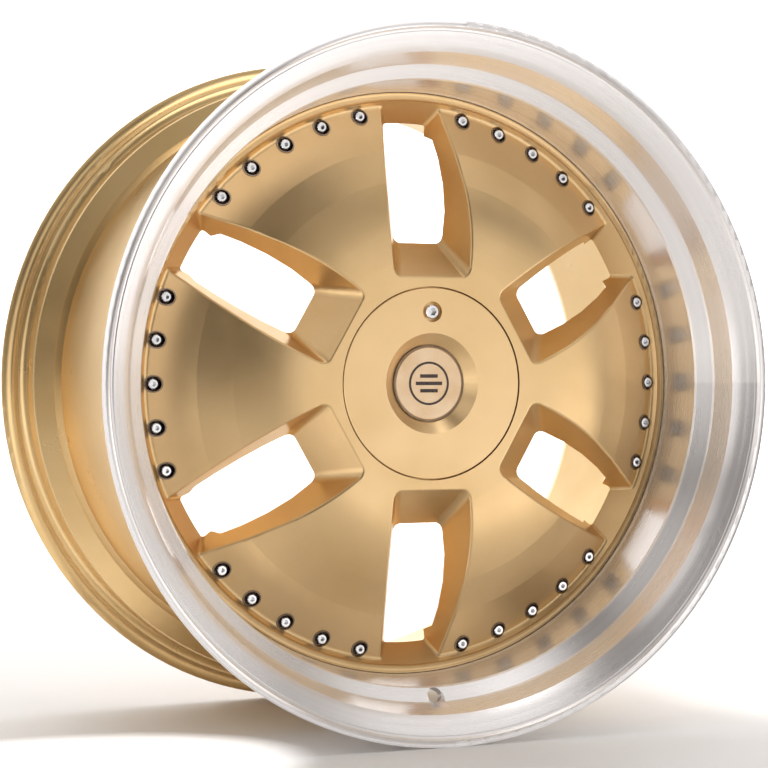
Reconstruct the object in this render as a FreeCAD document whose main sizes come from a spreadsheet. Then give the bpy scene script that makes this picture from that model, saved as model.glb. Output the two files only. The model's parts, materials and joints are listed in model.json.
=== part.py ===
import FreeCAD, Part
import os
import math
import Sketcher

# Deep-dish three-piece road and race wheel, 19 x 10.5 J.
# Origin: middle of the rim on the spin axis. The spin axis is Y and the street face looks along -Y.
# Every revolved outline is drawn as (radius, distance along Y), in millimetres.

os.makedirs("parts", exist_ok=True)
doc = FreeCAD.newDocument("wheel")

sizes = {
    # rim: radii are given as steps in from the edge, depths as steps back from the front crest
    "rimRadius": 261.0, "crestY": 144.9, "flangeWidth": 11.55, "beadSeatStep": 17.3, "wellStep": 37.0,
    "shelfInnerStep": 38.6, "shelfOuterStep": 28.1, "wallGauge": 5.5, "rimFlangeGauge": 7.0,
    "valveHoleRadius": 5.65,
    # wheel centre
    "discStep": 43.9, "valleyStep": 53.0, "hubFaceDepth": 40.1, "hubFlatRadius": 92.0,
    "domeRadius": 150.0, "valleyDepth": 82.5, "seatBackDepth": 92.9, "padDepth": 124.9,
    "padRadius": 80.0, "cavityRadius": 65.0, "cavityFloorDepth": 110.9, "centreBoreRadius": 36.55,
    "windowCount": 6, "windowCorner": 8.0, "windowEdge": 1.8, "ringJointRadius": 3.0,
    # assembly bolts
    "boltStep": 59.5, "boltPitchAngle": 9.0, "boltsPerSpoke": 5, "boltRadius": 3.0,
    "cupRadius": 6.35, "cupFloorDepth": 86.0, "headTopDepth": 77.0, "starRadius": 3.8,
    # hub cover, lock screw and cap
    "coverRadius": 70.2, "coverGap": 0.9, "coverRimDepth": 47.8, "screwRadiusOut": 52.5,
    "screwShank": 3.0, "screwHead": 5.0, "screwRecess": 7.6, "capConeRadius": 36.9,
    "capRadius": 28.0, "capFaceDepth": 46.9,
    # hub seat
    "lugCircle": 112.0, "lugCount": 5, "lugHoleRadius": 7.25, "lugInsertRadius": 11.0,
    "hubBoreRadius": 33.3,
}

sheet = doc.addObject("Spreadsheet::Sheet", "Sizes")
for row, (name, value) in enumerate(sizes.items(), start=1):
    sheet.set(f"A{row}", name)
    sheet.set(f"B{row}", str(value))
    sheet.setAlias(f"B{row}", name)
doc.recompute()


class Dim:
    """A number together with the sheet expression it comes from."""

    def __init__(self, num, text):
        self.num = num
        self.text = text

    def __add__(self, other):
        other = dim(other)
        return Dim(self.num + other.num, f"({self.text} + {other.text})")

    def __sub__(self, other):
        other = dim(other)
        return Dim(self.num - other.num, f"({self.text} - {other.text})")

    def __mul__(self, other):
        other = dim(other)
        return Dim(self.num * other.num, f"({self.text} * {other.text})")

    def __truediv__(self, other):
        other = dim(other)
        return Dim(self.num / other.num, f"({self.text} / {other.text})")

    def __neg__(self):
        return Dim(-self.num, f"(0 - {self.text})")


def dim(value):
    if isinstance(value, Dim):
        return value
    if value < 0:
        return Dim(value, f"(0 - {-value!r})")
    return Dim(value, repr(value))


def root(value):
    return Dim(math.sqrt(value.num), f"sqrt({value.text})")


def ref(name):
    return Dim(sizes[name], f"Sizes.{name}")


def originItem(body, role):
    return next(item for item in body.Origin.OriginFeatures if item.Role == role)


def newBody(label, manySolids=False):
    body = doc.addObject("PartDesign::Body", label)
    body.Label = label
    if manySolids:
        body.AllowCompound = True
    return body


def newSketch(body, name, plane="XY_Plane", offsetY=None, turn=0.0, out=None):
    """A sketch on an origin plane: moved along Y, or turned about Y and moved out to a radius."""
    sketch = body.newObject("Sketcher::SketchObject", name)
    sketch.AttachmentSupport = [(originItem(body, plane), "")]
    sketch.MapMode = "FlatFace"
    if offsetY is not None:
        sketch.AttachmentOffset = FreeCAD.Placement(FreeCAD.Vector(0, 0, -offsetY.num), FreeCAD.Rotation())
        sketch.setExpression("AttachmentOffset.Base.z", f"0 - {offsetY.text}")
    if out is not None:
        radians = math.radians(turn)
        base = FreeCAD.Vector(out.num * math.cos(radians), 0, -out.num * math.sin(radians))
        turned = FreeCAD.Rotation(FreeCAD.Vector(0, 1, 0), turn)
        sketch.AttachmentOffset = FreeCAD.Placement(base, turned)
        sketch.setExpression("AttachmentOffset.Base.x", f"{out.text} * cos({turn!r} deg)")
        sketch.setExpression("AttachmentOffset.Base.z", f"0 - {out.text} * sin({turn!r} deg)")
    doc.recompute()
    return sketch


def pin(sketch, geo, pos, x, y):
    """Ties one sketch point to sheet values."""
    for axis, kind, value in ((-2, "DistanceX", x), (-1, "DistanceY", y)):
        if abs(value.num) < 1e-9:
            sketch.addConstraint(Sketcher.Constraint("PointOnObject", geo, pos, axis))
        else:
            index = sketch.addConstraint(Sketcher.Constraint(kind, -1, 1, geo, pos, value.num))
            sketch.setExpression(f"Constraints[{index}]", value.text)


def outline(sketch, points):
    """Closed outline. A point is (x, y) or (x, y, radius): the radius makes an arc to the next
    point, turning left when positive and right when negative."""
    corners = [(dim(p[0]), dim(p[1]), dim(p[2]) if len(p) > 2 else None) for p in points]
    count = len(corners)
    for i, (x, y, radius) in enumerate(corners):
        nextX, nextY = corners[(i + 1) % count][:2]
        start = FreeCAD.Vector(x.num, y.num, 0)
        end = FreeCAD.Vector(nextX.num, nextY.num, 0)
        if radius is None:
            sketch.addGeometry(Part.LineSegment(start, end), False)
            continue
        chord = end - start
        half = chord.Length / 2
        size = abs(radius.num)
        side = 1 if radius.num > 0 else -1
        normal = FreeCAD.Vector(-chord.y, chord.x, 0) / chord.Length
        rise = size - math.sqrt(size * size - half * half)
        middle = (start + end) / 2 - normal * rise * side
        arc = Part.Arc(start, middle, end) if side > 0 else Part.Arc(end, middle, start)
        sketch.addGeometry(arc, False)
    for i, (x, y, radius) in enumerate(corners):
        arc = sketch.Geometry[i]
        forward = True
        if radius is not None:
            forward = (arc.StartPoint - FreeCAD.Vector(x.num, y.num, 0)).Length < 1e-6
        startPos = 1 if forward else 2
        pin(sketch, i, startPos, x, y)
        if radius is not None:
            size = radius if radius.num > 0 else -radius
            index = sketch.addConstraint(Sketcher.Constraint("Radius", i, size.num))
            sketch.setExpression(f"Constraints[{index}]", size.text)
    for i in range(count):
        after = (i + 1) % count
        x, y = corners[after][:2]
        here = FreeCAD.Vector(x.num, y.num, 0)
        endPos = 2 if (sketch.Geometry[i].EndPoint - here).Length < 1e-6 else 1
        startPos = 1 if (sketch.Geometry[after].StartPoint - here).Length < 1e-6 else 2
        sketch.addConstraint(Sketcher.Constraint("Coincident", i, endPos, after, startPos))


def ring(sketch, x, y, radius):
    """A full circle tied to sheet values."""
    x, y, radius = dim(x), dim(y), dim(radius)
    centre = FreeCAD.Vector(x.num, y.num, 0)
    index = sketch.addGeometry(Part.Circle(centre, FreeCAD.Vector(0, 0, 1), radius.num), False)
    pin(sketch, index, 3, x, y)
    constraint = sketch.addConstraint(Sketcher.Constraint("Radius", index, radius.num))
    sketch.setExpression(f"Constraints[{constraint}]", radius.text)


def spin(body, sketch, name, cut=False):
    feature = body.newObject("PartDesign::Groove" if cut else "PartDesign::Revolution", name)
    feature.Profile = (sketch, [""])
    feature.ReferenceAxis = (sketch, ["V_Axis"])
    feature.Angle = 360.0
    sketch.Visibility = False
    doc.recompute()
    return feature


def raisePad(body, sketch, name, length, towardsFront=True):
    feature = body.newObject("PartDesign::Pad", name)
    feature.Profile = (sketch, [""])
    feature.setExpression("Length", dim(length).text)
    feature.Reversed = not towardsFront
    doc.recompute()
    return feature


def cutPocket(body, sketch, name, length, towardsFront=False):
    feature = body.newObject("PartDesign::Pocket", name)
    feature.Profile = (sketch, [""])
    feature.setExpression("Length", dim(length).text)
    feature.Reversed = towardsFront
    doc.recompute()
    return feature


def around(body, features, name, steps):
    """Repeats features about Y, or the whole body when none are named.
    A step is (how many, angle between first and last, or 360)."""
    patterns = []
    multi = body.newObject("PartDesign::MultiTransform", name)
    if features:
        multi.Originals = features
    else:
        multi.TransformMode = "Whole shape"
    for index, (count, angle) in enumerate(steps):
        pattern = body.newObject("PartDesign::PolarPattern", f"{name}Turn{index}")
        pattern.Axis = (originItem(body, "Y_Axis"), [""])
        pattern.setExpression("Occurrences", dim(count).text)
        pattern.setExpression("Angle", dim(angle).text)
        patterns.append(pattern)
    multi.Transformations = patterns
    body.Tip = multi
    doc.recompute()
    return multi


def revolved(label, points):
    """A body made by spinning one outline about the wheel's axis."""
    body = newBody(label)
    sketch = newSketch(body, label + "Outline")
    outline(sketch, points)
    spin(body, sketch, label + "Spin")
    return body


rimRadius, crestY = ref("rimRadius"), ref("crestY")
front = -crestY
rear = crestY
flangeFaceY, gauge = crestY - ref("flangeWidth"), ref("wallGauge")


def inFromEdge(name):
    return rimRadius - ref(name)


def backFromCrest(name):
    return front + ref(name)


beadSeat, wellRadius = inFromEdge("beadSeatStep"), inFromEdge("wellStep")
shelfInner, shelfOuter = inFromEdge("shelfInnerStep"), inFromEdge("shelfOuterStep")
discRadius, seatBackY = inFromEdge("discStep"), backFromCrest("seatBackDepth")
boltCircle, boltRadius = inFromEdge("boltStep"), ref("boltRadius")
flangeGauge = ref("rimFlangeGauge")
flangeInner = boltCircle - 6.0
jointY = seatBackY + flangeGauge
boltFan = ref("boltPitchAngle") * (ref("boltsPerSpoke") - 1)
boltSteps = [(ref("boltsPerSpoke"), boltFan), (ref("windowCount"), 360)]
firstBolt = sizes["boltPitchAngle"] * (sizes["boltsPerSpoke"] - 1) / 2
boltHole = boltRadius + 0.15


def offAxis(distance, degrees):
    """Sketch coordinates on a plane square to Y, at an angle up from +X."""
    angle = f"{degrees!r} deg"
    across = distance.num * math.cos(math.radians(degrees))
    up = distance.num * math.sin(math.radians(degrees))
    return Dim(across, f"({distance.text} * cos({angle}))"), Dim(up, f"({distance.text} * sin({angle}))")


def boltHoles(body, radius, name, fromY, length):
    """Thirty clearance holes on the bolt circle."""
    sketch = newSketch(body, name + "Circle", "XZ_Plane", offsetY=fromY)
    x, z = offAxis(boltCircle, firstBolt)
    ring(sketch, x, z, radius)
    hole = cutPocket(body, sketch, name, length)
    around(body, [hole], name + "Set", boltSteps)


def flangeScallops(body, name, fromY, length):
    """Cuts the bolting flange back behind each window."""
    sketch = newSketch(body, name + "Outline", "XZ_Plane", offsetY=fromY)
    ring(sketch, 0, boltCircle - 23.5, 31.0)
    scallop = cutPocket(body, sketch, name, length)
    around(body, [scallop], name + "Set", [(ref("windowCount"), 360)])


# ---- outer rim half: polished lip, shelf with the valve hole, bolting flange ----
seatFront = -flangeFaceY
lipOutline = [
    (flangeInner, seatBackY), (discRadius + 0.3, seatBackY), (discRadius + 0.3, front + 78.5),
    (discRadius + 1.5, front + 76.0), (shelfInner - 0.5, front + 41), (shelfInner + 0.6, front + 39.2),
    (shelfOuter - 0.6, front + 31.9), (shelfOuter + 0.4, front + 30.2),
    (rimRadius - 21.6, front + 14.4, dim(30.0)), (rimRadius - 13.6, front + 7.6, dim(40.0)),
    (rimRadius - 8.4, front + 4.0), (rimRadius - 7.6, front + 4.3), (rimRadius - 6.4, front + 3.6),
    (rimRadius - 5.0, front + 1.6, dim(-3.9)), (rimRadius, front + 2.05),
    (rimRadius, front + 3.6, dim(-8.0)),
    (rimRadius - 8.0, seatFront), (beadSeat + 6.5, seatFront, dim(6.5)),
    (beadSeat, seatFront + 6.5), (beadSeat - 1.2, seatFront + 20.0),
    (beadSeat - 0.3, seatFront + 21.8, dim(-1.6)), (beadSeat - 1.0, seatFront + 24.0),
    (wellRadius + 5.0, front + 42.6), (wellRadius, front + 50.0), (wellRadius, jointY),
    (flangeInner, jointY),
]
outer = revolved("outer_rim_half", lipOutline)
boltHoles(outer, boltHole, "outerBoltHoles", seatBackY - 1, flangeGauge + 4)
flangeScallops(outer, "outerScallop", seatBackY - 1, flangeGauge + 1)

# valve hole: close to axial, countersunk where it leaves the shelf
valveTilt = 15.0
shelfMidRadius = (shelfInner + shelfOuter) / 2
shelfMidY = front + 35.6
valveSketch = newSketch(outer, "valveOutline", "YZ_Plane")
lean, rise = math.sin(math.radians(valveTilt)), math.cos(math.radians(valveTilt))


def valvePoint(along, across):
    """Point in the (Y, Z) sketch plane, along and across the valve hole's axis."""
    return shelfMidY + along * rise - across * lean, -shelfMidRadius - along * lean - across * rise


valveBody = [valvePoint(-9, 0), valvePoint(-9, sizes["valveHoleRadius"] + 7.2),
             valvePoint(1.2, sizes["valveHoleRadius"]), valvePoint(20, sizes["valveHoleRadius"]),
             valvePoint(20, 0)]
outline(valveSketch, valveBody)
valveCut = outer.newObject("PartDesign::Groove", "valveHole")
valveCut.Profile = (valveSketch, [""])
valveCut.ReferenceAxis = (valveSketch, ["Edge5"])
valveCut.Angle = 360.0
doc.recompute()

# ---- inner rim half: barrel, well, rear bead seat and flange ----
seatRear = flangeFaceY
innerWell = wellRadius - gauge
barrelOutline = [
    (flangeInner, jointY), (wellRadius, jointY), (wellRadius, rear - 46.0), (wellRadius + 4.0, rear - 39.0),
    (beadSeat - 1.0, seatRear - 24.0), (beadSeat - 0.3, seatRear - 21.8, dim(-1.6)),
    (beadSeat - 1.2, seatRear - 20.0), (beadSeat, seatRear - 6.5, dim(6.5)),
    (beadSeat + 6.5, seatRear), (rimRadius - 8.4, seatRear, dim(-8.0)),
    (rimRadius - 0.4, rear - 3.6), (rimRadius - 0.4, rear - 2.0, dim(-3.4)),
    (rimRadius - 5.4, rear - 1.6), (rimRadius - 12.0, rear - 5.0, dim(12.0)),
    (rimRadius - 20.0, rear - 12.0), (rimRadius - 26.0, rear - 30.0), (innerWell + 2.0, rear - 48.0),
    (innerWell, rear - 56.0), (innerWell, jointY + flangeGauge + 6, dim(6.0)),
    (innerWell - 6, jointY + flangeGauge), (flangeInner, jointY + flangeGauge),
]
inner = revolved("inner_rim_half", barrelOutline)
boltHoles(inner, boltHole, "innerBoltHoles", jointY - 1, flangeGauge + 2)
flangeScallops(inner, "innerScallop", jointY - 1, flangeGauge + 4)

# ---- bead of sealant over the joint of the two halves, on the tyre side ----
revolved("rim_joint_sealant", [
    (wellRadius, jointY - 6), (wellRadius + 1.4, jointY - 2.5, dim(4.2)),
    (wellRadius + 1.4, jointY + 2.5), (wellRadius, jointY + 6),
])

# ---- wheel centre ----
hubFaceY, hubFlat, domeRadius = backFromCrest("hubFaceDepth"), ref("hubFlatRadius"), ref("domeRadius")
valleyRadius, valleyY = inFromEdge("valleyStep"), backFromCrest("valleyDepth")
padY, padRadius, cavityRadius = backFromCrest("padDepth"), ref("padRadius"), ref("cavityRadius")
floorY, centreBore = backFromCrest("cavityFloorDepth"), ref("centreBoreRadius")
coverRadius = ref("coverRadius")
coverRecess = coverRadius + ref("coverGap")
coverRimY = backFromCrest("coverRimDepth")
ledgeY = coverRimY + 0.3
creaseRadius = valleyRadius - 34
domeReach = (creaseRadius - hubFlat) * (58.0 / 82.0)
domeDrop = domeRadius - root(domeRadius * domeRadius - domeReach * domeReach)
coneDrop = (valleyY - hubFaceY - domeDrop) * 0.365
creaseY = hubFaceY + domeDrop + coneDrop
buriedY = valleyY + (valleyY - creaseY) * (7.0 / 34.0)
centreOutline = [
    (centreBore, floorY), (cavityRadius, floorY), (cavityRadius, ledgeY), (coverRecess, ledgeY),
    (coverRecess, hubFaceY), (hubFlat, hubFaceY, domeRadius),
    (hubFlat + domeReach, hubFaceY + domeDrop), (creaseRadius, creaseY),
    (valleyRadius + 7, buriedY), (valleyRadius + 7, seatBackY),
    (boltCircle - 14.5, seatBackY), (boltCircle - 17.5, seatBackY - 8.0),
    (boltCircle - 31.5, seatBackY - 14.8), (boltCircle - 51.5, seatBackY - 21.5),
    (boltCircle - 71.5, seatBackY - 25.2), (boltCircle - 103.0, seatBackY - 25.6, dim(-14.0)),
    (padRadius + 10, seatBackY - 12), (padRadius + 4, padY - 8), (padRadius, padY), (centreBore, padY),
]
centre = revolved("wheel_centre", centreOutline)

# windows: flat sloping sides and a sloping inner end, open outwards until the ring below closes them
windowFrontY = hubFaceY - 4.1
windowBackY = seatBackY + 7.1


def windowPlane(name, planeY, innerRadius, innerHalf, outerRadius, outerHalf):
    sketch = newSketch(centre, name, "XZ_Plane", offsetY=planeY)
    outline(sketch, [(-innerHalf, innerRadius), (innerHalf, innerRadius),
                     (outerHalf, outerRadius), (-outerHalf, outerRadius)])
    return sketch


frontEnd, backEnd = padRadius - 5.9, padRadius + 55.0
windowFront = windowPlane("windowFront", windowFrontY, frontEnd, dim(31.6), discRadius, dim(47.1))
windowBack = windowPlane("windowBack", windowBackY, backEnd, dim(7.2), discRadius, dim(16.2))
window = centre.newObject("PartDesign::SubtractiveLoft", "window")
window.Profile = (windowFront, [""])
window.Sections = [(windowBack, [""])]
window.Ruled = True
doc.recompute()
around(centre, [window], "windows", [(ref("windowCount"), 360)])


def edgesWhere(shape, test):
    return [f"Edge{i}" for i, edge in enumerate(shape.Edges, start=1) if test(edge)]


def radiusOf(point):
    return math.hypot(point.x, point.z)


def isWindowCorner(edge, shape):
    """The straight edges where a window's side meets its sloping inner end."""
    if len(edge.Vertexes) != 2:
        return False
    ends = sorted((v.Point for v in edge.Vertexes), key=radiusOf)
    return (radiusOf(ends[0]) < hubFlat.num and 100 < radiusOf(ends[1]) < 115
            and ends[0].y < hubFaceY.num + 4.8 and ends[1].y > hubFaceY.num + 22.8)


def roundEdges(body, name, test, radius):
    """Rounds every edge of the body's tip that passes the test."""
    base = body.Tip
    names = edgesWhere(base.Shape, lambda edge: test(edge, base.Shape))
    feature = body.newObject("PartDesign::Fillet", name)
    feature.Base = (base, names)
    feature.setExpression("Radius", radius.text)
    doc.recompute()
    return feature


roundEdges(centre, "windowCorners", isWindowCorner, ref("windowCorner"))


def isTurned(face):
    """True for faces made by the spin about the wheel's axis."""
    surface = face.Surface
    if surface.TypeId == "Part::GeomPlane":
        return abs(surface.Axis.y) > 0.999
    axis = getattr(surface, "Axis", None)
    middle = getattr(surface, "Center", None)
    if axis is None or middle is None:
        return False
    return abs(axis.y) > 0.999 and math.hypot(middle.x, middle.z) < 0.01


def isWindowRim(edge, shape):
    """The edges where the windows break the front face."""
    if len(edge.Vertexes) != 2:
        return False
    middle = edge.valueAt((edge.FirstParameter + edge.LastParameter) / 2)
    reach = radiusOf(middle)
    if reach < coverRadius.num + 3 or reach > valleyRadius.num + 1:
        return False
    backY = seatBackY.num - 25.5 + max(0.0, reach - boltCircle.num + 71.5) * 0.38
    if middle.y > backY - 5:
        return False
    faces = shape.ancestorsOfType(edge, Part.Face)
    return len([face for face in faces if isTurned(face)]) == 1


roundEdges(centre, "windowRims", isWindowRim, ref("windowEdge"))

# the ring that closes the windows' outer ends: one sloping flank from the hole edge up to a round bead
ringSketch = newSketch(centre, "ringOutline")
holeEdge = boltCircle - 6.2
outline(ringSketch, [
    (holeEdge, seatBackY), (discRadius - 6.7, valleyY - 4.4, dim(-4.0)),
    (discRadius - 0.2, valleyY - 2.5), (discRadius, valleyY - 1.4), (discRadius, seatBackY),
])
spin(centre, ringSketch, "rimRing")


def isRingJoint(edge, shape):
    """The hollow edges where a spoke runs into the ring."""
    if len(edge.Vertexes) != 2:
        return False
    middle = edge.valueAt((edge.FirstParameter + edge.LastParameter) / 2)
    if middle.y > seatBackY.num - 0.1 or radiusOf(middle) > discRadius.num - 7:
        return False
    faces = shape.ancestorsOfType(edge, Part.Face)
    return len(faces) == 2 and len([face for face in faces if isTurned(face) and isOnFlank(face)]) == 1


def isOnFlank(face):
    """True for the ring's sloping flank."""
    u0, u1, v0, v1 = face.ParameterRange
    middle = face.valueAt((u0 + u1) / 2, (v0 + v1) / 2)
    slope = (discRadius.num - 6.7 - holeEdge.num) / (seatBackY.num - valleyY.num + 4.4)
    rise = seatBackY.num - middle.y
    return rise > 0.1 and abs(radiusOf(middle) - holeEdge.num - rise * slope) < 0.05


roundEdges(centre, "ringJoints", isRingJoint, ref("ringJointRadius"))

# boss for the lock screw's insert, grown out of the cavity wall at twelve o'clock
screwOut = ref("screwRadiusOut")
bossTopY = coverRimY + 8.6
bossSketch = newSketch(centre, "bossOutline", "XZ_Plane", offsetY=floorY + 1)
outline(bossSketch, [
    (-8.5, screwOut, dim(8.8)), (8.5, screwOut), (8.5, cavityRadius + 1), (-8.5, cavityRadius + 1),
])
raisePad(centre, bossSketch, "boss", floorY + 1 - bossTopY)
insertHole = newSketch(centre, "insertHoleOutline", "XZ_Plane", offsetY=bossTopY - 1)
ring(insertHole, 0, screwOut, 4.5)
cutPocket(centre, insertHole, "insertHole", 15.0)

# bolt seats
cupFloorY, cupRadius = backFromCrest("cupFloorDepth"), ref("cupRadius")
seatSketch = newSketch(centre, "boltSeatOutline", turn=-firstBolt, out=boltCircle)
outline(seatSketch, [
    (0, cupFloorY), (cupRadius + 0.05, cupFloorY), (cupRadius + 0.05, valleyY - 20), (0, valleyY - 20),
])
seat = spin(centre, seatSketch, "boltSeat", cut=True)
around(centre, [seat], "boltSeats", boltSteps)
boltHoles(centre, boltHole, "centreBoltHoles", cupFloorY - 1, 10.0)

# lug holes for the seat inserts
lugSketch = newSketch(centre, "lugHoleOutline", "XZ_Plane", offsetY=floorY - 1)
ring(lugSketch, 0, -(ref("lugCircle") / 2), ref("lugInsertRadius"))
lugHole = cutPocket(centre, lugSketch, "lugHole", 16.0)
around(centre, [lugHole], "lugHoles", [(ref("lugCount"), 360)])

# hole in the cover ledge for the locating pin, at six o'clock
pinOut = cavityRadius + 3.05
pinHole = newSketch(centre, "pinHoleOutline", "XZ_Plane", offsetY=ledgeY - 1)
ring(pinHole, 0, -pinOut, 1.5)
cutPocket(centre, pinHole, "pinHole", 9.0)

# ---- steel seats for the wheel studs' nuts ----
lugs = newBody("lug_seat_inserts", manySolids=True)
lugSpin = newSketch(lugs, "lugSeatOutline", turn=90.0, out=ref("lugCircle") / 2)
lugHoleRadius, lugInsert = ref("lugHoleRadius"), ref("lugInsertRadius")
outline(lugSpin, [
    (lugHoleRadius, padY), (lugHoleRadius, padY - 8), (lugInsert - 1.2, floorY - 0.5),
    (lugInsert, floorY - 0.5), (lugInsert, padY),
])
spin(lugs, lugSpin, "lugSeat")
around(lugs, [], "lugSeats", [(ref("lugCount"), 360)])

# ---- ring that centres the wheel on the hub spigot ----
revolved("hub_centring_ring", [
    (ref("hubBoreRadius"), padY - 12), (ref("hubBoreRadius"), padY - 1.0),
    (ref("hubBoreRadius") + 1.0, padY), (centreBore, padY), (centreBore, padY - 12),
])

# ---- assembly bolts, their cups, washers and nuts ----
headTopY = backFromCrest("headTopDepth")
cupGauge = dim(1.2)
headSeatY = cupFloorY - cupGauge
nutSeatY = jointY + flangeGauge + 1.2
boltEndY = nutSeatY + 8.0


def boltSketch(body, name):
    return newSketch(body, name, turn=-firstBolt, out=boltCircle)


bolts = newBody("assembly_bolts", manySolids=True)
shank = boltSketch(bolts, "shankOutline")
outline(shank, [
    (0, headSeatY - 2), (3.2, headSeatY - 2), (4.7, headSeatY - 0.9), (4.7, headSeatY),
    (boltRadius, headSeatY), (boltRadius, boltEndY - 0.8), (boltRadius - 0.8, boltEndY), (0, boltEndY),
])
spin(bolts, shank, "shank")
starX, starZ = offAxis(boltCircle, firstBolt)
starRadius = ref("starRadius")
for half in range(2):
    star = newSketch(bolts, f"starOutline{half}", "XZ_Plane", offsetY=headSeatY - 1)
    points = []
    for corner in range(6):
        across, up = offAxis(starRadius, 60.0 * corner + 30.0 * half)
        points.append((starX + across, starZ + up))
    outline(star, points)
    raisePad(bolts, star, f"star{half}", headSeatY - 1 - headTopY)
socket = newSketch(bolts, "socketOutline", "XZ_Plane", offsetY=headTopY - 1)
points = []
for corner in range(6):
    across, up = offAxis(starRadius * 0.5, 60.0 * corner)
    points.append((starX + across, starZ + up))
outline(socket, points)
cutPocket(bolts, socket, "socket", 4.2)
crown = boltSketch(bolts, "crownOutline")
outline(crown, [
    (starRadius - 0.7, headTopY), (starRadius + 1, headTopY), (starRadius + 1, headTopY + 1.7),
])
spin(bolts, crown, "crown", cut=True)
around(bolts, [], "boltSet", boltSteps)

cups = newBody("bolt_cups", manySolids=True)
cupSketch = boltSketch(cups, "cupOutline")
outline(cupSketch, [
    (boltRadius + 0.2, cupFloorY), (cupRadius, cupFloorY), (cupRadius, valleyY - 14),
    (cupRadius - 0.9, valleyY - 14), (cupRadius - 0.9, headSeatY - 0.6, dim(0.6)),
    (cupRadius - 1.5, headSeatY), (boltRadius + 0.2, headSeatY),
])
spin(cups, cupSketch, "cup")
around(cups, [], "cupSet", boltSteps)
cupTrim = newSketch(cups, "cupTrimOutline")
outline(cupTrim, [
    (creaseRadius, creaseY - 0.25), (valleyRadius + 1, valleyY - 0.25),
    (valleyRadius + 1, valleyY - 40), (creaseRadius, valleyY - 40),
])
spin(cups, cupTrim, "cupTrim", cut=True)

washers = newBody("rear_washers", manySolids=True)
washerSketch = boltSketch(washers, "washerOutline")
outline(washerSketch, [
    (boltRadius + 0.2, nutSeatY - 1.2), (6.0, nutSeatY - 1.2),
    (6.0, nutSeatY), (boltRadius + 0.2, nutSeatY),
])
spin(washers, washerSketch, "washer")
around(washers, [], "washerSet", boltSteps)

nuts = newBody("assembly_nuts", manySolids=True)
nutSketch = newSketch(nuts, "nutOutline", "XZ_Plane", offsetY=nutSeatY)
points = []
for corner in range(6):
    across, up = offAxis(dim(5.77), 60.0 * corner)
    points.append((starX + across, starZ + up))
outline(nutSketch, points)
raisePad(nuts, nutSketch, "nut", 5.5, towardsFront=False)
nutBore = newSketch(nuts, "nutBoreOutline", "XZ_Plane", offsetY=nutSeatY - 1)
ring(nutBore, starX, starZ, boltRadius + 0.02)
cutPocket(nuts, nutBore, "nutBore", 8.0)
around(nuts, [], "nutSet", boltSteps)

# ---- hub cover with its lock screw ----
coneRadius, capRadius, capFaceY = ref("capConeRadius"), ref("capRadius"), backFromCrest("capFaceDepth")
screwShank, screwHead, screwRecess = ref("screwShank"), ref("screwHead"), ref("screwRecess")
capBoreRadius = capRadius + 0.4
plugRadius = capRadius - 2.8
spigotRadius = cavityRadius - 0.3
sealY = coverRimY + 4.4
cover = revolved("hub_cover", [
    (plugRadius + 0.3, capFaceY + 9), (plugRadius + 0.3, capFaceY + 3.6), (capBoreRadius, capFaceY + 3.6),
    (capBoreRadius, capFaceY + 0.7), (coneRadius, hubFaceY), (coverRadius - 0.5, hubFaceY),
    (coverRadius, hubFaceY + 0.5), (coverRadius, coverRimY), (spigotRadius, coverRimY),
    (spigotRadius, sealY - 1.6), (spigotRadius - 2.85, sealY - 1.6), (spigotRadius - 2.85, sealY + 1.6),
    (spigotRadius, sealY + 1.6), (spigotRadius, sealY + 3.2), (spigotRadius - 5.0, sealY + 3.2),
    (spigotRadius - 5.0, hubFaceY + 5.5), (capBoreRadius + 6.0, hubFaceY + 6.5),
    (capBoreRadius + 3.0, capFaceY + 9),
])
coverBoss = newSketch(cover, "coverBossOutline", "XZ_Plane", offsetY=hubFaceY + 5)
ring(coverBoss, 0, screwOut, screwRecess + 2)
raisePad(cover, coverBoss, "coverBoss", 5.5, towardsFront=False)
screwWell = newSketch(cover, "screwWellOutline", "XZ_Plane", offsetY=hubFaceY - 1)
ring(screwWell, 0, screwOut, screwRecess)
cutPocket(cover, screwWell, "screwWell", 7.4)
screwHole = newSketch(cover, "screwHoleOutline", "XZ_Plane", offsetY=hubFaceY - 1)
ring(screwHole, 0, screwOut, screwShank + 0.08)
cutPocket(cover, screwHole, "screwHole", 20.0)
coverPin = newSketch(cover, "coverPinOutline", "XZ_Plane", offsetY=coverRimY + 1)
ring(coverPin, 0, -pinOut, 1.56)
cutPocket(cover, coverPin, "coverPinHole", 5.5, towardsFront=True)

sealRadius = cavityRadius - 1.55
revolved("cover_seal_ring", [
    (sealRadius - 1.5, sealY, dim(1.5)), (sealRadius, sealY - 1.5, dim(1.5)),
    (sealRadius + 1.5, sealY, dim(1.5)), (sealRadius, sealY + 1.5, dim(1.5)),
])

screwSeatY = hubFaceY + 6.4
screwTopY = hubFaceY - 0.3
screwEndY = bossTopY + 11.0
clipY = bossTopY - 0.7
screw = newBody("cover_lock_screw")
screwSketch = newSketch(screw, "screwOutline", turn=-90.0, out=screwOut)
outline(screwSketch, [
    (0, screwTopY), (screwHead - 0.5, screwTopY), (screwHead, screwTopY + 0.5), (screwHead, screwSeatY),
    (screwShank, screwSeatY), (screwShank, clipY - 1.0), (screwShank - 0.5, clipY - 1.0),
    (screwShank - 0.5, clipY), (screwShank, clipY), (screwShank, screwEndY - 0.8),
    (screwShank - 0.8, screwEndY), (0, screwEndY),
])
spin(screw, screwSketch, "screwSpin")
keySocket = newSketch(screw, "keyOutline", "XZ_Plane", offsetY=screwTopY - 1)
points = []
for corner in range(12):
    across, up = offAxis(screwHead * (0.62 if corner % 2 == 0 else 0.5), 30.0 * corner)
    points.append((across, screwOut + up))
outline(keySocket, points)
cutPocket(screw, keySocket, "key", 4.6)

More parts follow.
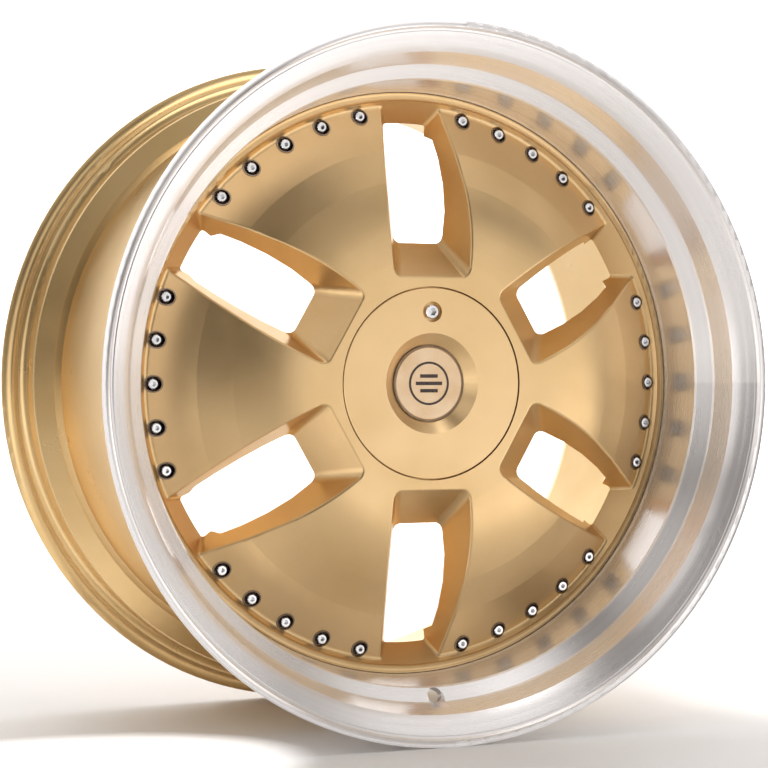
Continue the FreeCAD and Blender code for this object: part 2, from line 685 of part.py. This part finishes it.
clip = newBody("lock_screw_clip")
clipSketch = newSketch(clip, "clipOutline", "XZ_Plane", offsetY=clipY)
ring(clipSketch, 0, screwOut, 5.4)
raisePad(clip, clipSketch, "clipDisc", 1.0)
clipBore = newSketch(clip, "clipBoreOutline", "XZ_Plane", offsetY=clipY + 1)
outline(clipBore, [
    (-(screwShank - 0.45), screwOut - 0.5, screwShank - 0.402), (screwShank - 0.45, screwOut - 0.5),
    (screwShank - 0.45, screwOut + 8), (-(screwShank - 0.45), screwOut + 8),
])
cutPocket(clip, clipBore, "clipBore", 3.0, towardsFront=True)

insert = newBody("lock_screw_insert")
insertSketch = newSketch(insert, "insertOutline", turn=-90.0, out=screwOut)
outline(insertSketch, [
    (screwShank + 0.05, bossTopY), (4.5, bossTopY),
    (4.5, bossTopY + 12), (screwShank + 0.05, bossTopY + 12),
])
spin(insert, insertSketch, "insertSpin")

pinBody = newBody("cover_locating_pin")
pinSketch = newSketch(pinBody, "pinOutline", turn=90.0, out=pinOut)
outline(pinSketch, [
    (0, ledgeY - 3.6), (1.2, ledgeY - 3.6), (1.5, ledgeY - 3.2), (1.5, ledgeY + 7), (0, ledgeY + 7),
])
spin(pinBody, pinSketch, "pinSpin")

# ---- centre cap, its inlaid disc, the mark on the disc and the cap's wire ring ----
inlayRadius = capRadius - 1.2
revolved("centre_cap", [
    (0, capFaceY + 1.2), (inlayRadius, capFaceY + 1.2),
    (inlayRadius, capFaceY), (capRadius - 0.3, capFaceY),
    (capRadius, capFaceY + 0.3), (capRadius, capFaceY + 3.3), (plugRadius, capFaceY + 3.3),
    (plugRadius, capFaceY + 5.4), (plugRadius - 1.2, capFaceY + 5.4), (plugRadius - 1.2, capFaceY + 7.0),
    (plugRadius, capFaceY + 7.0), (plugRadius, capFaceY + 9.0), (plugRadius - 3.0, capFaceY + 9.0),
    (plugRadius - 3.0, capFaceY + 3.8), (0, capFaceY + 3.8),
])
badgeFaceY = capFaceY - 0.4
revolved("cap_badge", [
    (0, badgeFaceY), (inlayRadius - 0.7, badgeFaceY), (inlayRadius - 0.1, capFaceY + 0.1),
    (inlayRadius - 0.1, capFaceY + 1.2), (0, capFaceY + 1.2),
])
wireMiddle = plugRadius - 0.55
wireY = capFaceY + 6.2
revolved("cap_spring_ring", [
    (wireMiddle - 0.62, wireY, dim(0.7)), (wireMiddle + 0.1, wireY - 0.7, dim(0.7)),
    (wireMiddle + 0.8, wireY, dim(0.7)), (wireMiddle + 0.1, wireY + 0.7, dim(0.7)),
])

# plain mark: three bars of different length inside a ring
mark = newBody("badge_mark", manySolids=True)
markHeight = 0.25
markRing = newSketch(mark, "markRingOutline", "XZ_Plane", offsetY=badgeFaceY)
ring(markRing, 0, 0, 16.0)
ring(markRing, 0, 0, 14.4)
raisePad(mark, markRing, "markRing", markHeight)
for index, (height, reach) in enumerate(((5.4, 7.0), (0.0, 10.5), (-5.4, 7.0))):
    bar = newSketch(mark, f"markBarOutline{index}", "XZ_Plane", offsetY=badgeFaceY)
    low, high = height - 1.3, height + 1.3
    outline(bar, [(-reach, low), (reach, low), (reach, high), (-reach, high)])
    raisePad(mark, bar, f"markBar{index}", markHeight)

doc.recompute()
problems = []
for item in doc.Objects:
    if "Invalid" in item.State or "Error" in item.State:
        problems.append(f"{item.Name}: {item.State}")
for body in [item for item in doc.Objects if item.TypeId == "PartDesign::Body"]:
    if body.Shape.isNull() or not body.Shape.isValid():
        problems.append(f"{body.Label}: bad shape")
        continue
    print(body.Label, "solids", len(body.Shape.Solids), "volume", round(body.Shape.Volume, 1))
if problems:
    raise RuntimeError("; ".join(problems))
for body in [item for item in doc.Objects if item.TypeId == "PartDesign::Body"]:
    body.Shape.exportStep(f"parts/{body.Label}.step")
print("done", len(os.listdir("parts")))
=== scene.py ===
import json
import math

import bpy
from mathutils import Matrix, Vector


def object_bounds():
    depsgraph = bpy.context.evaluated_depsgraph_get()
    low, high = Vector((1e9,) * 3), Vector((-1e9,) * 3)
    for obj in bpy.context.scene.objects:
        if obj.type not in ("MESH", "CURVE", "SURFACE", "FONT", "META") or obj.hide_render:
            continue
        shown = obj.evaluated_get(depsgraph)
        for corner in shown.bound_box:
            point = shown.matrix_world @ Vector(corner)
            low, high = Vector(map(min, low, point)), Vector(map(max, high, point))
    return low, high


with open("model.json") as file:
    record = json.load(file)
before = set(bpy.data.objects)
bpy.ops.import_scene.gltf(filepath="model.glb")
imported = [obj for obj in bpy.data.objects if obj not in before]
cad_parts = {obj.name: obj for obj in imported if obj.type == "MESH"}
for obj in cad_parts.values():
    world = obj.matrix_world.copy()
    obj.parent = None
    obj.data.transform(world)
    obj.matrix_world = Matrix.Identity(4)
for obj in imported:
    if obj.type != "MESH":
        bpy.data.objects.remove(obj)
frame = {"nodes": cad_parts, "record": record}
nodes = frame["nodes"]
slotOf = {s["node"]: s["material_slot"] for s in frame["record"]["subparts"]}
lowStart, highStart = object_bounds()
print("stage: frame loaded,", len(nodes), "nodes")


# a material with short calls for its nodes
class Shader:
    def __init__(self, name):
        self.material = bpy.data.materials.new(name)
        self.material.use_nodes = True
        self.tree = self.material.node_tree
        self.tree.nodes.clear()
        self.out = self.tree.nodes.new("ShaderNodeOutputMaterial")
        self.surface = self.tree.nodes.new("ShaderNodeBsdfPrincipled")
        self.link(self.surface.outputs["BSDF"], self.out.inputs["Surface"])
        coords = self.tree.nodes.new("ShaderNodeTexCoord")
        self.place = coords.outputs["Object"]

    def link(self, a, b):
        self.tree.links.new(a, b)

    # sets a socket to a number or colour, or links it to another socket
    def put(self, socket, value):
        if isinstance(value, bpy.types.NodeSocket):
            self.link(value, socket)
        elif isinstance(value, (tuple, list)) and len(value) == 3 and socket.type == "RGBA":
            socket.default_value = (*value, 1.0)
        else:
            socket.default_value = value

    def set(self, **values):
        names = {"color": "Base Color", "metal": "Metallic", "rough": "Roughness", "normal": "Normal",
                 "coat": "Coat Weight", "coatRough": "Coat Roughness",
                 "anisotropy": "Anisotropic", "turn": "Anisotropic Rotation", "tangent": "Tangent"}
        for key, value in values.items():
            self.put(self.surface.inputs[names[key]], value)

    def math(self, kind, a, b=0.0, c=0.0):
        node = self.tree.nodes.new("ShaderNodeMath")
        node.operation = kind
        for socket, value in zip(node.inputs, (a, b, c)):
            self.put(socket, value)
        return node.outputs[0]

    def noise(self, scale, detail=3.0, rough=0.5, place=None):
        node = self.tree.nodes.new("ShaderNodeTexNoise")
        self.put(node.inputs["Vector"], place or self.place)
        node.inputs["Scale"].default_value = scale
        node.inputs["Detail"].default_value = detail
        node.inputs["Roughness"].default_value = rough
        return node.outputs["Fac"]

    def span(self, value, low, high, toLow, toHigh):
        node = self.tree.nodes.new("ShaderNodeMapRange")
        for socket, number in zip(node.inputs, (value, low, high, toLow, toHigh)):
            self.put(socket, number)
        return node.outputs["Result"]

    def mix(self, amount, a, b):
        node = self.tree.nodes.new("ShaderNodeMix")
        node.data_type = "RGBA"
        self.put(node.inputs["Factor"], amount)
        self.put(node.inputs["A"], a)
        self.put(node.inputs["B"], b)
        return node.outputs["Result"]

    # coordinates that are the same all round the spin axis: radius and distance along it
    def lathe(self):
        split = self.tree.nodes.new("ShaderNodeSeparateXYZ")
        self.link(self.place, split.inputs[0])
        square = self.math("MULTIPLY", split.outputs["X"], split.outputs["X"])
        total = self.math("MULTIPLY_ADD", split.outputs["Z"], split.outputs["Z"], square)
        radius = self.math("SQRT", total)
        join = self.tree.nodes.new("ShaderNodeCombineXYZ")
        self.link(radius, join.inputs["X"])
        self.link(split.outputs["Y"], join.inputs["Y"])
        return join.outputs[0]

    def bump(self, height, strength, distance, normal=None):
        node = self.tree.nodes.new("ShaderNodeBump")
        node.inputs["Strength"].default_value = strength
        node.inputs["Distance"].default_value = distance
        self.link(height, node.inputs["Height"])
        if normal is not None:
            self.link(normal, node.inputs["Normal"])
        return node.outputs["Normal"]


# thin hairlines at random angles, 1 on a line and 0 off it
def scratches(shader, scale, width):
    voronoi = shader.tree.nodes.new("ShaderNodeTexVoronoi")
    voronoi.feature = "DISTANCE_TO_EDGE"
    shader.link(shader.place, voronoi.inputs["Vector"])
    voronoi.inputs["Scale"].default_value = scale
    line = shader.span(voronoi.outputs["Distance"], 0.0, width, 1.0, 0.0)
    patch = shader.span(shader.noise(scale * 0.35, 2.0), 0.52, 0.66, 0.0, 1.0)
    return shader.math("MULTIPLY", line, patch)


# satin gold lacquer on the centre, the cover and the barrel
gold = {
    "color": (0.80, 0.560, 0.290),
    "deep": (0.62, 0.40, 0.16),
    "dust": (0.72, 0.66, 0.58),
    "cloudScale": 14.0,
    "flakeScale": 5200.0,
    "dustScale": 55.0,
    "wearScale": 30.0,
    "peelScale": 420.0,
    "scratchScale": 46.0,
    "scratchWidth": 0.012,
    "scratchRough": 0.12,
    "metal": 0.88,
    "rough": 0.31,
    "coat": 0.06,
    "coatRough": 0.22,
    "peelHeight": 0.0004,
    "flakeHeight": 0.00012,
}


def goldPaint(name, tint=(1.0, 1.0, 1.0), body=gold["rough"], dust=0.05):
    shader = Shader(name)
    base = tuple(c * t for c, t in zip(gold["color"], tint))
    deep = tuple(c * t for c, t in zip(gold["deep"], tint))
    cloud = shader.span(shader.noise(gold["cloudScale"], 4.0), 0.35, 0.68, 0.0, 0.35)
    flakes = shader.span(shader.noise(gold["flakeScale"], 1.0), 0.45, 0.72, 0.0, 0.32)
    color = shader.mix(shader.math("ADD", cloud, flakes), base, deep)
    haze = shader.span(shader.noise(gold["dustScale"], 5.0, 0.62), 0.55, 0.78, 0.0, dust)
    color = shader.mix(haze, color, gold["dust"])
    hair = scratches(shader, gold["scratchScale"], gold["scratchWidth"])
    rough = shader.span(shader.noise(gold["wearScale"], 4.0), 0.3, 0.75, body - 0.03, body + 0.05)
    rough = shader.math("MULTIPLY_ADD", hair, gold["scratchRough"], rough)
    normal = shader.bump(shader.noise(gold["peelScale"], 2.0), 0.05, gold["peelHeight"])
    normal = shader.bump(shader.noise(gold["flakeScale"], 1.0), 0.035, gold["flakeHeight"], normal)
    shader.set(color=color, metal=gold["metal"], rough=rough, normal=normal,
               coat=gold["coat"], coatRough=gold["coatRough"])
    return shader.material


# turned and polished aluminium of the outer rim half
lip = {
    "color": (0.945, 0.915, 0.91),
    "band": (0.86, 0.845, 0.84),
    "fineScale": 2600.0,
    "bandScale": 240.0,
    "cloudScale": 9.0,
    "scratchScale": 30.0,
    "scratchWidth": 0.01,
    "scratchRough": 0.10,
    "metal": 0.82,
    "rough": 0.27,
    "stretch": 0.80,       # reflections smear along the spin axis
    "stretchTurn": 0.25,
    "fineHeight": 0.00004,
    "bandHeight": 0.0002,
}


def polishedLip(name):
    shader = Shader(name)
    rings = shader.lathe()
    fine = shader.noise(lip["fineScale"], 2.0, 0.6, rings)
    wide = shader.noise(lip["bandScale"], 2.0, 0.5, rings)
    cloud = shader.noise(lip["cloudScale"], 3.0)
    color = shader.mix(shader.span(wide, 0.3, 0.7, 0.0, 0.6), lip["color"], lip["band"])
    rough = shader.span(fine, 0.3, 0.7, lip["rough"] - 0.02, lip["rough"] + 0.045)
    rough = shader.math("MULTIPLY_ADD", shader.span(cloud, 0.45, 0.75, 0.0, 1.0), 0.05, rough)
    hair = scratches(shader, lip["scratchScale"], lip["scratchWidth"])
    rough = shader.math("MULTIPLY_ADD", hair, lip["scratchRough"], rough)
    normal = shader.bump(fine, 0.10, lip["fineHeight"])
    normal = shader.bump(wide, 0.05, lip["bandHeight"], normal)
    around = shader.tree.nodes.new("ShaderNodeTangent")
    around.direction_type = "RADIAL"
    around.axis = "Y"
    shader.set(color=color, metal=lip["metal"], rough=rough, normal=normal,
               anisotropy=lip["stretch"], turn=lip["stretchTurn"], tangent=around.outputs["Tangent"])
    return shader.material


# small metal parts
metals = {
    "bolt_chrome": {"color": (0.86, 0.86, 0.88), "dark": (0.62, 0.62, 0.64), "rough": 0.13},
    "screw_chrome": {"color": (0.88, 0.88, 0.89), "dark": (0.66, 0.66, 0.67), "rough": 0.16},
    # cup_dark is a dark brown metal for the cups round the bolt heads: painted shade of the bolt
    # recesses
    "cup_dark": {"color": (0.34, 0.26, 0.19), "dark": (0.20, 0.14, 0.10), "rough": 0.24},
    "washer_steel": {"color": (0.60, 0.60, 0.61), "dark": (0.44, 0.44, 0.45), "rough": 0.36},
    "nut_steel": {"color": (0.60, 0.59, 0.55), "dark": (0.42, 0.41, 0.37), "rough": 0.34},
    "seat_steel": {"color": (0.55, 0.55, 0.56), "dark": (0.40, 0.40, 0.41), "rough": 0.28},
    "insert_brass": {"color": (0.78, 0.60, 0.28), "dark": (0.56, 0.41, 0.17), "rough": 0.26},
    "pin_steel": {"color": (0.66, 0.66, 0.66), "dark": (0.50, 0.50, 0.50), "rough": 0.20},
    "clip_steel": {"color": (0.22, 0.23, 0.27), "dark": (0.12, 0.12, 0.14), "rough": 0.32},
    "wire_steel": {"color": (0.64, 0.64, 0.65), "dark": (0.48, 0.48, 0.49), "rough": 0.24},
}


def metalPart(name, color, dark, rough):
    shader = Shader(name)
    stain = shader.span(shader.noise(180.0, 4.0, 0.6), 0.42, 0.72, 0.0, 0.7)
    tone = shader.mix(stain, color, dark)
    roughness = shader.span(shader.noise(700.0, 3.0), 0.3, 0.7, rough - 0.03, rough + 0.07)
    normal = shader.bump(shader.noise(2400.0, 3.0), 0.10, 0.00005)
    shader.set(color=tone, metal=1.0, rough=roughness, normal=normal)
    return shader.material


# rubber, plastic and the dark mark
softs = {
    "sealant": {"color": (0.035, 0.034, 0.033), "dark": (0.020, 0.020, 0.020),
                "rough": 0.62, "grain": 900.0},
    "seal_rubber": {"color": (0.030, 0.030, 0.030), "dark": (0.018, 0.018, 0.018),
                    "rough": 0.55, "grain": 1400.0},
    "ring_plastic": {"color": (0.050, 0.050, 0.055), "dark": (0.030, 0.030, 0.034),
                     "rough": 0.48, "grain": 1600.0},
    "cap_plastic": {"color": (0.36, 0.25, 0.15), "dark": (0.25, 0.17, 0.10),
                    "rough": 0.38, "grain": 1800.0},
    "mark_dark": {"color": (0.060, 0.032, 0.026), "dark": (0.035, 0.020, 0.016),
                  "rough": 0.30, "grain": 1200.0},
}


def softPart(name, color, dark, rough, grain):
    shader = Shader(name)
    tone = shader.mix(shader.span(shader.noise(120.0, 4.0), 0.35, 0.7, 0.0, 1.0), color, dark)
    roughness = shader.span(shader.noise(grain * 0.4, 3.0), 0.3, 0.7, rough - 0.05, rough + 0.07)
    normal = shader.bump(shader.noise(grain, 3.0), 0.16, 0.0001)
    shader.set(color=tone, rough=roughness, normal=normal)
    return shader.material


# champagne disc inlaid in the cap
badge = {
    "color": (0.80, 0.60, 0.40),
    "dark": (0.70, 0.48, 0.27),
    "speck": (0.88, 0.74, 0.58),
    "cloudScale": 42.0,
    "speckScale": 1500.0,
    "metal": 0.9,
    "rough": 0.40,
    "coat": 0.2,
    "coatRough": 0.2,
}


def badgeDisc(name):
    shader = Shader(name)
    cloud = shader.span(shader.noise(badge["cloudScale"], 3.0), 0.38, 0.66, 0.0, 0.8)
    speck = shader.span(shader.noise(badge["speckScale"], 2.0), 0.56, 0.72, 0.0, 0.35)
    tone = shader.mix(cloud, badge["color"], badge["dark"])
    tone = shader.mix(speck, tone, badge["speck"])
    body = badge["rough"]
    rough = shader.span(shader.noise(500.0, 3.0), 0.3, 0.7, body - 0.05, body + 0.06)
    normal = shader.bump(shader.noise(1800.0, 2.0), 0.05, 0.00006)
    shader.set(color=tone, metal=badge["metal"], rough=rough, normal=normal,
               coat=badge["coat"], coatRough=badge["coatRough"])
    return shader.material


materials = {
    "gold_centre": goldPaint("goldCentre"),
    "gold_cover": goldPaint("goldCover", tint=(1.04, 1.05, 1.08)),
    "gold_barrel": goldPaint("goldBarrel", tint=(0.98, 1.0, 0.96), body=0.30, dust=0.08),
    "polished_lip": polishedLip("polishedLip"),
    "badge_champagne": badgeDisc("badgeDisc"),
}
for slot, look in metals.items():
    materials[slot] = metalPart(slot, **look)
for slot, look in softs.items():
    materials[slot] = softPart(slot, **look)

for name, node in nodes.items():
    node.data.materials.clear()
    node.data.materials.append(materials[slotOf[name]])
print("stage: materials on", len(nodes), "nodes")


# floor and backdrop
stage = {
    "floorDepth": 1.9,     # how far behind the wheel the sheet starts to rise
    "sweepRadius": 1.6,
    "sweepSteps": 24,
    "height": 4.0,
    "halfWidth": 6.0,
    "front": -7.0,
    "color": (0.90, 0.89, 0.88),
}

# faint warm light from all round, and brighter lobes of white light
# edge and full are the cosines where a lobe starts and where it reaches its strength
ambient = {"strength": 0.05, "color": (1.0, 0.86, 0.72)}
white = (1.0, 0.985, 0.975)
lobes = [
    {"toward": (0.52, -0.85, 0.00), "edge": 0.84, "full": 0.965, "strength": 0.88},
    {"toward": (0.10, -0.90, 0.42), "edge": 0.92, "full": 0.985, "strength": 0.40},
    {"toward": (0.98, -0.05, 0.00), "edge": 0.66, "full": 0.92, "strength": 0.75},
    {"toward": (-0.93, -0.35, 0.00), "edge": 0.89, "full": 0.95, "strength": 1.10},
    {"toward": (-0.64, -0.34, 0.69), "edge": 0.91, "full": 0.965, "strength": 0.80},
    {"toward": (-0.66, -0.32, -0.68), "edge": 0.92, "full": 0.97, "strength": 0.80},
    {"toward": (0.10, 0.72, 0.60), "edge": 0.50, "full": 0.85, "strength": 0.70},
    {"toward": (0.35, -0.36, 0.87), "edge": 0.86, "full": 0.95, "strength": 0.90},
]


# strength of the soft light seen in a direction
def glow(tree, direction):
    total = None
    for lobe in lobes:
        dot = tree.nodes.new("ShaderNodeVectorMath")
        dot.operation = "DOT_PRODUCT"
        tree.links.new(direction, dot.inputs[0])
        dot.inputs[1].default_value = Vector(lobe["toward"]).normalized()
        ramp = tree.nodes.new("ShaderNodeMapRange")
        ramp.interpolation_type = "SMOOTHSTEP"
        tree.links.new(dot.outputs["Value"], ramp.inputs["Value"])
        ramp.inputs["From Min"].default_value = lobe["edge"]
        ramp.inputs["From Max"].default_value = lobe["full"]
        ramp.inputs["To Max"].default_value = lobe["strength"]
        if total is None:
            total = ramp.outputs["Result"]
            continue
        add = tree.nodes.new("ShaderNodeMath")
        tree.links.new(ramp.outputs["Result"], add.inputs[0])
        tree.links.new(total, add.inputs[1])
        total = add.outputs[0]
    return total


def lightRoom():
    world = bpy.data.worlds.new("softRoom")
    bpy.context.scene.world = world
    world.use_nodes = True
    tree = world.node_tree
    tree.nodes.clear()
    coords = tree.nodes.new("ShaderNodeTexCoord")
    bright = tree.nodes.new("ShaderNodeBackground")
    bright.inputs["Color"].default_value = (*white, 1.0)
    tree.links.new(glow(tree, coords.outputs["Generated"]), bright.inputs["Strength"])
    dim = tree.nodes.new("ShaderNodeBackground")
    dim.inputs["Color"].default_value = (*ambient["color"], 1.0)
    dim.inputs["Strength"].default_value = ambient["strength"]
    both = tree.nodes.new("ShaderNodeAddShader")
    tree.links.new(bright.outputs[0], both.inputs[0])
    tree.links.new(dim.outputs[0], both.inputs[1])
    out = tree.nodes.new("ShaderNodeOutputWorld")
    tree.links.new(both.outputs[0], out.inputs["Surface"])


# one sheet: floor, curved corner and back wall, glowing white in the same lobes as the room light:
# painted light
def sweep():
    lowest = lowStart.z
    rise, radius, side = stage["floorDepth"], stage["sweepRadius"], stage["halfWidth"]
    profile = [(stage["front"], lowest), (rise, lowest)]
    for step in range(1, stage["sweepSteps"] + 1):
        angle = math.radians(90 * step / stage["sweepSteps"])
        profile.append((rise + radius * math.sin(angle), lowest + radius * (1 - math.cos(angle))))
    profile.append((rise + radius, stage["height"]))
    points, faces = [], []
    for y, z in profile:
        points += [(-side, y, z), (side, y, z)]
    for i in range(len(profile) - 1):
        faces.append((2 * i, 2 * i + 1, 2 * i + 3, 2 * i + 2))
    mesh = bpy.data.meshes.new("sweep")
    mesh.from_pydata(points, [], faces)
    for face in mesh.polygons:
        face.use_smooth = True
    sheet = bpy.data.objects.new("sweep", mesh)
    bpy.context.scene.collection.objects.link(sheet)
    shader = Shader("paleFloorPaintedGlow")
    darker = tuple(c * 0.985 for c in stage["color"])
    cloud = shader.span(shader.noise(1.3, 3.0), 0.35, 0.7, 0.0, 1.0)
    tone = shader.mix(cloud, stage["color"], darker)
    rough = shader.span(shader.noise(40.0, 3.0), 0.3, 0.7, 0.70, 0.80)
    normal = shader.bump(shader.noise(220.0, 2.0), 0.02, 0.0004)
    shader.set(color=tone, rough=rough, normal=normal)
    # painted light: the sheet glows white, brighter in the directions of the light lobes, though it
    # is no lamp
    outward = shader.tree.nodes.new("ShaderNodeVectorMath")
    outward.operation = "NORMALIZE"
    shader.link(shader.place, outward.inputs[0])
    glowInputs = shader.surface.inputs
    glowInputs["Emission Color"].default_value = (*white, 1.0)
    shader.link(glow(shader.tree, outward.outputs["Vector"]), glowInputs["Emission Strength"])
    mesh.materials.append(shader.material)


# square soft boxes over the wheel and beside the backdrop
lamps = {
    "topBox": {"at": (0.1, 0.5, 2.8), "aim": (0.0, 0.3, -0.2), "size": 2.4, "power": 34.0},
    "wall": {"at": (2.3, 1.4, 1.5), "aim": (1.1, 3.6, 0.6), "size": 1.6, "power": 48.0},
}


def addLamps():
    for name, lamp in lamps.items():
        data = bpy.data.lights.new(name, "AREA")
        data.shape = "SQUARE"
        data.size = lamp["size"]
        data.energy = lamp["power"]
        item = bpy.data.objects.new(name, data)
        item.location = lamp["at"]
        aim = Vector(lamp["aim"]) - Vector(lamp["at"])
        item.rotation_euler = aim.to_track_quat("-Z", "Y").to_euler()
        bpy.context.scene.collection.objects.link(item)


sweep()
lightRoom()
addLamps()
print("stage: floor and light")


# camera
view = {
    "at": (-0.6947, -1.6417, 0.0143),
    "toward": (0.39257, 0.91970, -0.00872),
    "lens": 107.92,
}


def addCamera():
    data = bpy.data.cameras.new("camera")
    data.lens = view["lens"]
    data.sensor_width = 36.0
    data.dof.use_dof = False
    data.clip_start = 0.05
    data.clip_end = 60.0
    camera = bpy.data.objects.new("camera", data)
    camera.location = view["at"]
    camera.rotation_mode = "QUATERNION"
    camera.rotation_quaternion = Vector(view["toward"]).to_track_quat("-Z", "Y")
    bpy.context.scene.collection.objects.link(camera)
    bpy.context.scene.camera = camera


addCamera()
bpy.context.scene.view_settings.view_transform = "Standard"
print("stage: camera")
